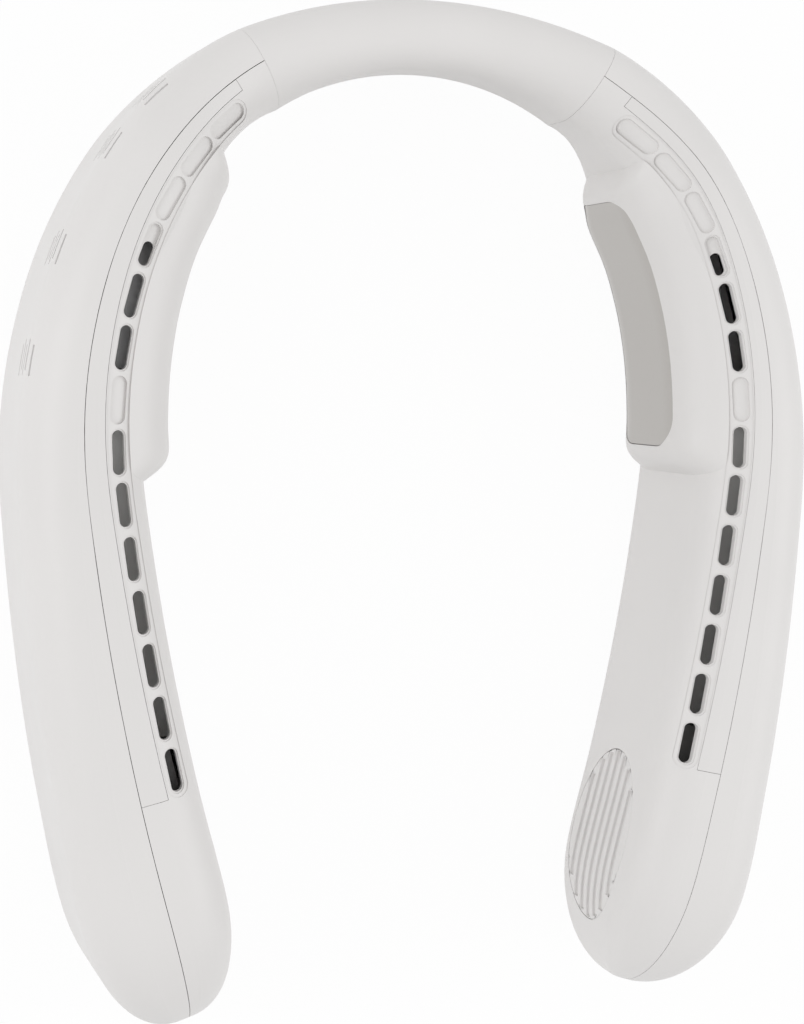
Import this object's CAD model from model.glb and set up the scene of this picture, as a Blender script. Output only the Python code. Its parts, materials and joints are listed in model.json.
import bpy
import json
import math
from collections import namedtuple
from mathutils import Matrix, Vector


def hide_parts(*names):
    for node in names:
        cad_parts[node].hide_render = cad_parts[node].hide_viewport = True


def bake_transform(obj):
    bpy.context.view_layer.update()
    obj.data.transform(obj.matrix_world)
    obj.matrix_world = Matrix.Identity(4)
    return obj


# Looks of an electric neck fan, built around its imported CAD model. Lengths are in metres.

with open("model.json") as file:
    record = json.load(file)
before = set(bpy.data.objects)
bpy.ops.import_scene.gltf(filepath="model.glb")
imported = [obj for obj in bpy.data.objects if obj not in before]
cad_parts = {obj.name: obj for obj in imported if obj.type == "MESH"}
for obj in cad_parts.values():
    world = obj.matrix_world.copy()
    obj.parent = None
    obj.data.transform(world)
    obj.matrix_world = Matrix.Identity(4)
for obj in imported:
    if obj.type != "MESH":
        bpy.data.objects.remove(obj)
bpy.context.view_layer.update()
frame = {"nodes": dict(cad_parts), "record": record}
nodes = frame["nodes"]
MM = 0.001

# Photograph's camera, as angles and distances from the middle of the fan

IMAGE_LONG_SIDE = 1024
SENSOR = 36.0
FOCAL_PIXELS = 2211.02
CAMERA_TURN = 0.309
CAMERA_TILT = 0.070
CAMERA_ROLL = -0.005
CAMERA_DISTANCE = 535.73 * MM
CAMERA_SHIFT = Vector((1.743 * MM, -11.568 * MM))
AIM_POINT = Vector((0.0, -12.183 * MM, 26.25 * MM))
CLIP_NEAR = 0.01
CLIP_FAR = 20.0


def make_camera():
    """Camera that looks down on the outlet slots from the left."""
    data = bpy.data.cameras.new("camera")
    data.sensor_width = SENSOR
    data.lens = FOCAL_PIXELS * SENSOR / IMAGE_LONG_SIDE
    data.clip_start = CLIP_NEAR
    data.clip_end = CLIP_FAR
    camera = bpy.data.objects.new("camera", data)
    bpy.context.scene.collection.objects.link(camera)
    turn = (Matrix.Rotation(CAMERA_ROLL, 3, "Z") @ Matrix.Rotation(CAMERA_TILT, 3, "X")
            @ Matrix.Rotation(CAMERA_TURN, 3, "Y")).transposed()
    offset = Vector((-CAMERA_SHIFT.x, -CAMERA_SHIFT.y, CAMERA_DISTANCE))
    place = turn.to_4x4()
    place.translation = AIM_POINT + turn @ offset
    camera.matrix_world = place
    bpy.context.scene.camera = camera


# Bridge's arc behind the neck, which is the middle of the parting curve

APEX_Y = 114.4 * MM
ROOT_RADIUS = 80.4 * MM
MID_HEIGHT = 26.25 * MM
BRIDGE_RISE = 5.0 * MM
BRIDGE_HALF = 43.3 * MM
SEAM_GAP = 0.04 * MM


def bridge_point(along, inward, up):
    """Point in the bridge: along its arc, inward from the parting curve and above mid-height."""
    turn = along / ROOT_RADIUS
    radius = ROOT_RADIUS - inward
    centre_y = APEX_Y - ROOT_RADIUS
    return Vector((radius * math.sin(turn), centre_y + radius * math.cos(turn), MID_HEIGHT + up))


# Materials, from noise and other patterns in each piece's own coordinates

RAMP_LOW = 0.3
RAMP_HIGH = 0.7


def shade(color, change):
    """Colour made lighter or darker by a share."""
    return tuple(channel * (1.0 + change) for channel in color)


class Shader:
    """A material with one Principled shader and a few texture helpers."""

    def __init__(self, name):
        self.material = bpy.data.materials.new(name)
        self.material.use_nodes = True
        self.tree = self.material.node_tree
        self.principled = self.tree.nodes["Principled BSDF"]
        self.position = self.tree.nodes.new("ShaderNodeTexCoord").outputs["Object"]

    def put(self, kind, **inputs):
        """New node, with its inputs fed by name."""
        node = self.tree.nodes.new(kind)
        for name, item in inputs.items():
            self.feed(node.inputs[name.replace("_", " ")], item)
        return node

    def feed(self, socket, item):
        """Link another node's output to a socket, or set its constant."""
        if isinstance(item, bpy.types.NodeSocket):
            self.tree.links.new(item, socket)
        else:
            socket.default_value = item

    def set(self, **inputs):
        """Feed the Principled shader's inputs by name."""
        for name, item in inputs.items():
            self.feed(self.principled.inputs[name.replace("_", " ")], item)

    def noise(self, scale, detail=2.0, stretch=None):
        """Noise from 0 to 1 in the object's own coordinates, stretched along an axis if asked."""
        vector = self.position
        if stretch is not None:
            vector = self.put("ShaderNodeMapping", Vector=self.position, Scale=stretch).outputs["Vector"]
        return self.put("ShaderNodeTexNoise", Vector=vector, Scale=scale, Detail=detail).outputs["Fac"]

    def between(self, factor, low, high):
        """Number that goes from low to high as a factor goes from its lower to its upper third."""
        node = self.put("ShaderNodeMapRange", Value=factor)
        node.inputs["From Min"].default_value = RAMP_LOW
        node.inputs["From Max"].default_value = RAMP_HIGH
        node.inputs["To Min"].default_value = low
        node.inputs["To Max"].default_value = high
        return node.outputs["Result"]

    def tint(self, factor, first, second):
        """Colour that wanders between two shades."""
        node = self.put("ShaderNodeValToRGB", Fac=factor)
        node.color_ramp.elements[0].position = RAMP_LOW
        node.color_ramp.elements[0].color = (*first, 1.0)
        node.color_ramp.elements[1].position = RAMP_HIGH
        node.color_ramp.elements[1].color = (*second, 1.0)
        return node.outputs["Color"]

    def mottle(self, factor, color, change):
        """Base colour that wanders by a share to both sides."""
        self.set(Base_Color=self.tint(factor, shade(color, -change), shade(color, change)))

    def gloss(self, factor, roughness, change):
        """Roughness that wanders to both sides."""
        self.set(Roughness=self.between(factor, roughness - change, roughness + change))

    def bump(self, height, strength, distance):
        """Fine relief of the surface."""
        node = self.put("ShaderNodeBump", Height=height, Strength=strength, Distance=distance)
        self.set(Normal=node.outputs["Normal"])


GRAIN_DEPTH = 0.05 * MM
LINE_DEPTH = 0.02 * MM
WIRE_DEPTH = 0.1 * MM


def moulded_plastic(name, color, roughness, grain=4200.0, relief=0.08):
    """Moulded plastic with a fine spark-eroded grain and faint flow shading."""
    flow_scale, flow_change = 22.0, 0.012
    gloss_scale, gloss_change = 90.0, 0.04
    shader = Shader(name)
    shader.mottle(shader.noise(flow_scale), color, flow_change)
    shader.gloss(shader.noise(gloss_scale), roughness, gloss_change)
    shader.bump(shader.noise(grain), relief, GRAIN_DEPTH)
    return shader.material


def soft_silicone(name, color):
    """Soft-touch silicone: matte, with a faint sheen and a finer grain than the plastic."""
    flow_scale, flow_change = 35.0, 0.015
    gloss_scale, roughness, gloss_change = 140.0, 0.55, 0.05
    grain, relief, sheen = 5200.0, 0.07, 0.05
    shader = Shader(name)
    shader.mottle(shader.noise(flow_scale), color, flow_change)
    shader.gloss(shader.noise(gloss_scale), roughness, gloss_change)
    shader.set(Sheen_Weight=sheen)
    shader.bump(shader.noise(grain), relief, GRAIN_DEPTH)
    return shader.material


def satin_metal(name, color, roughness, stretch):
    """Metal with fine drawn lines, which run across the axis with the largest stretch."""
    line_scale, line_detail, relief = 900.0, 3.0, 0.1
    line_change, gloss_change = 0.04, 0.05
    shader = Shader(name)
    lines = shader.noise(line_scale, line_detail, stretch)
    shader.set(Metallic=1.0)
    shader.mottle(lines, color, line_change)
    shader.gloss(lines, roughness, gloss_change)
    shader.bump(lines, relief, LINE_DEPTH)
    return shader.material


def winding(name, color):
    """Enamelled wire: fine parallel turns."""
    turn_scale, turn_shade, relief = 900.0, -0.35, 0.4
    gloss_scale, roughness, gloss_change = 300.0, 0.375, 0.075
    metal_share = 0.8
    shader = Shader(name)
    wave = shader.put("ShaderNodeTexWave", Vector=shader.position, Scale=turn_scale, Distortion=1.0)
    turns = wave.outputs["Fac"]
    shader.set(Base_Color=shader.tint(turns, shade(color, turn_shade), color), Metallic=metal_share)
    shader.gloss(shader.noise(gloss_scale), roughness, gloss_change)
    shader.bump(turns, relief, WIRE_DEPTH)
    return shader.material


def solder_mask(name, color):
    """Circuit board: glossy mask over faint tracks."""
    track_scale, field_shade, track_shade, relief = 260.0, 0.25, 0.8, 0.2
    gloss_scale, roughness, gloss_change = 200.0, 0.325, 0.075
    shader = Shader(name)
    tracks = shader.put("ShaderNodeTexBrick", Vector=shader.position, Scale=track_scale)
    tracks.inputs["Color1"].default_value = (*color, 1.0)
    tracks.inputs["Color2"].default_value = (*shade(color, field_shade), 1.0)
    tracks.inputs["Mortar"].default_value = (*shade(color, track_shade), 1.0)
    shader.set(Base_Color=tracks.outputs["Color"])
    shader.gloss(shader.noise(gloss_scale), roughness, gloss_change)
    shader.bump(tracks.outputs["Fac"], relief, GRAIN_DEPTH)
    return shader.material


WHITE = (0.77, 0.755, 0.745)
MATERIALS = {
    "shell_white": moulded_plastic("shell_white", WHITE, 0.46),
    "trim_white": moulded_plastic("trim_white", shade(WHITE, -0.01), 0.42),
    "button_white": moulded_plastic("button_white", shade(WHITE, -0.08), 0.4),
    "sleeve_silicone": soft_silicone("sleeve_silicone", WHITE),
    "plate_metal": satin_metal("plate_metal", (0.49, 0.472, 0.452), 0.34, (1.0, 1.0, 14.0)),
    "heat_sink_metal": satin_metal("heat_sink_metal", (0.72, 0.72, 0.725), 0.45, (1.0, 1.0, 12.0)),
    "steel": satin_metal("steel", (0.56, 0.56, 0.57), 0.3, (10.0, 10.0, 1.0)),
    "bronze": satin_metal("bronze", (0.5, 0.32, 0.16), 0.45, (3.0, 3.0, 3.0)),
    "copper": winding("copper", (0.62, 0.27, 0.13)),
    "ceramic": moulded_plastic("ceramic", (0.8, 0.8, 0.78), 0.3, 2600.0, 0.05),
    "inner_plastic": moulded_plastic("inner_plastic", (0.26, 0.255, 0.25), 0.4),
    "chassis_plastic": moulded_plastic("chassis_plastic", (0.93, 0.925, 0.91), 0.5),
    "cell_wrap": moulded_plastic("cell_wrap", (0.03, 0.12, 0.3), 0.3, 1500.0, 0.03),
    "board_green": solder_mask("board_green", (0.012, 0.09, 0.04)),
    "cable_rubber": soft_silicone("cable_rubber", (0.02, 0.02, 0.02)),
    "switch_black": moulded_plastic("switch_black", (0.02, 0.02, 0.02), 0.4),
    "lamp_clear": moulded_plastic("lamp_clear", (0.82, 0.84, 0.84), 0.15, 900.0, 0.02),
}


def dress_cad_nodes():
    """Give each CAD node the material of its slot in the record."""
    for row in frame["record"]["subparts"]:
        piece = nodes[row["node"]]
        piece.data.materials.clear()
        piece.data.materials.append(MATERIALS[row["material_slot"]])


RIB_ROUNDING = 0.28 * MM
RIB_SEGMENTS = 3
RIB_EDGE_ANGLE = math.radians(40)
WELD_REACH = 0.001 * MM


def soften_ribs():
    """Round the ribs of the two intake grilles."""
    for side in ("left", "right"):
        grille = nodes[side + "_intake_grille"]
        weld = grille.modifiers.new("joined_faces", "WELD")
        weld.merge_threshold = WELD_REACH
        bevel = grille.modifiers.new("rib_rounding", "BEVEL")
        bevel.width = RIB_ROUNDING
        bevel.segments = RIB_SEGMENTS
        bevel.limit_method = "ANGLE"
        bevel.angle_limit = RIB_EDGE_ANGLE
        bevel.use_clamp_overlap = False


# Bridge: soft sleeve, spring strip and harness, which bend between the arms


def swept_mesh(name, rings, slot, closed):
    """Mesh through rings of points, as a closed loop of rings or with capped ends."""
    count = len(rings[0])
    points = [point for ring in rings for point in ring]
    faces = []
    spans = len(rings) if closed else len(rings) - 1
    for ring in range(spans):
        after = (ring + 1) % len(rings)
        for item in range(count):
            beside = (item + 1) % count
            faces.append((ring * count + item, ring * count + beside,
                          after * count + beside, after * count + item))
    if not closed:
        faces.append(tuple(reversed(range(count))))
        faces.append(tuple((len(rings) - 1) * count + item for item in range(count)))
    mesh = bpy.data.meshes.new(name)
    mesh.from_pydata(points, [], faces)
    mesh.validate()
    mesh.shade_smooth()
    piece = bpy.data.objects.new(name, mesh)
    bpy.context.scene.collection.objects.link(piece)
    mesh.materials.append(MATERIALS[slot])
    return piece


def bend_with_arms(piece, node):
    """Put a piece in the place of its CAD node and bend it between the two arms."""
    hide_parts(node)
    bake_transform(piece)


SLEEVE_STATIONS = 96
CORNER_STEPS = 12
SIDE_STEPS = 4
SLEEVE_WALL = 2.0 * MM
LIP_RADIUS = 0.08 * MM
LIP_STEPS = 4
# depths inward and outward, half height, corner, inner upper corner and rise above mid-height, in mm
SleeveSection = namedtuple("SleeveSection", "inner outer half corner crown rise")
MIDDLE_SECTION = SleeveSection(10.5, 5.7, 12.0, 7.6, 7.6, 5.0)
SEAM_SECTION = SleeveSection(11.2, 8.8, 13.8, 7.0, 13.0, 6.5)
# largest share of the section's depth that one corner takes, and that two corners take together
CORNER_SHARE = 0.48
TWO_CORNERS_SHARE = 0.98


def sleeve_ring(along, inset):
    """Rounded rectangle across the sleeve, drawn in by a wall."""
    ease = min(1.0, (along / (BRIDGE_HALF - SEAM_GAP)) ** 2)
    pairs = zip(MIDDLE_SECTION, SEAM_SECTION)
    sizes = SleeveSection(*[(low + (high - low) * ease) * MM for low, high in pairs])
    inner = sizes.inner - inset
    outer = sizes.outer - inset
    half = sizes.half - inset
    corner = min(sizes.corner - inset, CORNER_SHARE * (inner + outer))
    crown = min(sizes.crown - inset, TWO_CORNERS_SHARE * (inner + outer) - corner)
    corners = [(inner - crown, half - crown, crown), (corner - outer, half - corner, corner),
               (corner - outer, corner - half, corner), (inner - corner, corner - half, corner)]
    flat = []
    for index, (middle_in, middle_up, radius) in enumerate(corners):
        for step in range(CORNER_STEPS + 1):
            turn = (index + step / CORNER_STEPS) * math.pi / 2
            flat.append((middle_in + radius * math.cos(turn), middle_up + radius * math.sin(turn)))
        ahead_in, ahead_up, ahead_radius = corners[(index + 1) % 4]
        last = flat[-1]
        turn = (index + 1) * math.pi / 2
        target = (ahead_in + ahead_radius * math.cos(turn), ahead_up + ahead_radius * math.sin(turn))
        for step in range(1, SIDE_STEPS):
            share = step / SIDE_STEPS
            flat.append((last[0] + (target[0] - last[0]) * share, last[1] + (target[1] - last[1]) * share))
    return [bridge_point(along, inward, up + sizes.rise) for inward, up in flat]


def make_sleeve():
    """Hollow sleeve with rounded lips at its two ends."""
    half = BRIDGE_HALF - SEAM_GAP
    rings = []
    for step in range(SLEEVE_STATIONS + 1):
        share = 2 * step / SLEEVE_STATIONS - 1
        rings.append(sleeve_ring(share * (half - LIP_RADIUS), 0.0))
    for step in range(1, LIP_STEPS + 1):
        turn = step / LIP_STEPS * math.pi / 2
        short = LIP_RADIUS * (1 - math.sin(turn))
        drawn_in = LIP_RADIUS * (1 - math.cos(turn))
        rings.append(sleeve_ring(half - short, drawn_in))
    for step in range(SLEEVE_STATIONS + 1):
        share = 1 - 2 * step / SLEEVE_STATIONS
        rings.append(sleeve_ring(share * half, SLEEVE_WALL))
    for step in range(LIP_STEPS, 0, -1):
        turn = step / LIP_STEPS * math.pi / 2
        short = LIP_RADIUS * (1 - math.sin(turn))
        drawn_in = LIP_RADIUS * (1 - math.cos(turn))
        rings.append(sleeve_ring(short - half, drawn_in))
    sleeve = swept_mesh("sleeve", rings, "sleeve_silicone", True)
    bend_with_arms(sleeve, "bridge_sleeve")


CORE_IN = 1.6 * MM
SPRING_HALF = 56.0 * MM
SPRING_THICK = 0.6 * MM
SPRING_HEIGHT = 7.0 * MM
HARNESS_HALF = 58.0 * MM
HARNESS_RADIUS = 1.5 * MM
HARNESS_DOWN = 6.0 * MM
CORE_STATIONS = 72
EDGE_STEPS = 6
CABLE_STEPS = 20


def make_bridge_core():
    """Spring strip with rounded edges and the cable below it."""
    edge = SPRING_THICK / 2
    strip_outline = []
    for side in (1, -1):
        for step in range(EDGE_STEPS + 1):
            turn = (step / EDGE_STEPS) * math.pi + (0 if side > 0 else math.pi)
            strip_outline.append((CORE_IN + edge * math.cos(turn),
                                  side * (SPRING_HEIGHT / 2 - edge) + edge * math.sin(turn)))
    cable_outline = []
    for step in range(CABLE_STEPS):
        turn = step / CABLE_STEPS * 2 * math.pi
        cable_outline.append((CORE_IN + HARNESS_RADIUS * math.cos(turn),
                              HARNESS_RADIUS * math.sin(turn) - HARNESS_DOWN))
    plans = (("spring", strip_outline, SPRING_HALF, "steel", "bridge_spring"),
             ("harness", cable_outline, HARNESS_HALF, "cable_rubber", "bridge_harness"))
    for name, outline, half, slot, node in plans:
        rings = []
        for step in range(CORE_STATIONS + 1):
            along = (2 * step / CORE_STATIONS - 1) * half
            rings.append([bridge_point(along, inward, up + BRIDGE_RISE) for inward, up in outline])
        bend_with_arms(swept_mesh(name, rings, slot, False), node)


# Floor, light and world

FLOOR_SIDE = 6.0
FLOOR_DROP = 0.1 * MM
FLOOR_GLOW = 0.95
FLOOR_PALE = (0.92, 0.92, 0.92)
FLOOR_DARK = (0.9, 0.9, 0.9)
FLOOR_ROUGHNESS = 0.8
FLOOR_CLOUDS = 3.0
WHITE_LIGHT = (1.0, 1.0, 1.0, 1.0)
WORLD_LIGHT = 0.73
LAMP_SIZE = 0.9
# place and power in watts
LAMPS = {
    "key": (Vector((-1.0, 0.15, 0.75)), 3.4),
    "fill": (Vector((1.0, -0.05, 0.75)), 3.0),
}


def seen_rays(tree):
    """Factor that is 1 for the rays that show a background: camera, glossy and transmission rays."""
    rays = tree.nodes.new("ShaderNodeLightPath").outputs
    seen = rays["Is Camera Ray"]
    for name in ("Is Glossy Ray", "Is Transmission Ray"):
        either = tree.nodes.new("ShaderNodeMath")
        either.operation = "MAXIMUM"
        tree.links.new(seen, either.inputs[0])
        tree.links.new(rays[name], either.inputs[1])
        seen = either.outputs["Value"]
    return seen


def make_floor():
    """Pale floor, which shows as white with a trace of the fan's shadow."""
    mesh = bpy.data.meshes.new("floor")
    half = FLOOR_SIDE / 2
    corners = [(x, y, -FLOOR_DROP) for x, y in ((-half, -half), (half, -half), (half, half), (-half, half))]
    mesh.from_pydata(corners, [], [(0, 1, 2, 3)])
    floor = bpy.data.objects.new("floor", mesh)
    bpy.context.scene.collection.objects.link(floor)
    shader = Shader("floor")
    tree = shader.tree
    clouds = shader.noise(FLOOR_CLOUDS)
    shader.set(Base_Color=shader.tint(clouds, FLOOR_DARK, FLOOR_PALE), Roughness=FLOOR_ROUGHNESS)
    share = shader.put("ShaderNodeMath")
    share.operation = "MULTIPLY"
    shader.feed(share.inputs[0], seen_rays(tree))
    share.inputs[1].default_value = FLOOR_GLOW
    glow = shader.put("ShaderNodeEmission", Color=WHITE_LIGHT, Strength=1.0)
    mixed = shader.put("ShaderNodeMixShader", Fac=share.outputs["Value"])
    shader.feed(mixed.inputs[1], shader.principled.outputs["BSDF"])
    shader.feed(mixed.inputs[2], glow.outputs["Emission"])
    shader.feed(tree.nodes["Material Output"].inputs["Surface"], mixed.outputs["Shader"])
    mesh.materials.append(shader.material)


def make_lamp(name, place, power):
    """Round soft lamp that points at the fan."""
    data = bpy.data.lights.new(name, "AREA")
    data.shape = "DISK"
    data.size = LAMP_SIZE
    data.energy = power
    lamp = bpy.data.objects.new(name, data)
    bpy.context.scene.collection.objects.link(lamp)
    lamp.location = place
    lamp.rotation_mode = "QUATERNION"
    lamp.rotation_quaternion = (-place).to_track_quat("-Z", "Y")


def make_light():
    """Even white world, seen as a white backdrop, and a soft lamp on each side."""
    world = bpy.data.worlds.new("studio")
    bpy.context.scene.world = world
    world.use_nodes = True
    tree = world.node_tree
    lighting = tree.nodes["Background"]
    backdrop = tree.nodes.new("ShaderNodeBackground")
    for background, strength in ((lighting, WORLD_LIGHT), (backdrop, 1.0)):
        background.inputs["Color"].default_value = WHITE_LIGHT
        background.inputs["Strength"].default_value = strength
    mixed = tree.nodes.new("ShaderNodeMixShader")
    tree.links.new(seen_rays(tree), mixed.inputs["Fac"])
    tree.links.new(lighting.outputs["Background"], mixed.inputs[1])
    tree.links.new(backdrop.outputs["Background"], mixed.inputs[2])
    tree.links.new(mixed.outputs["Shader"], tree.nodes["World Output"].inputs["Surface"])
    for name, (place, power) in LAMPS.items():
        make_lamp(name, place, power)
    bpy.context.scene.view_settings.view_transform = "Standard"


make_camera()
dress_cad_nodes()
soften_ribs()
make_sleeve()
make_bridge_core()
make_floor()
make_light()
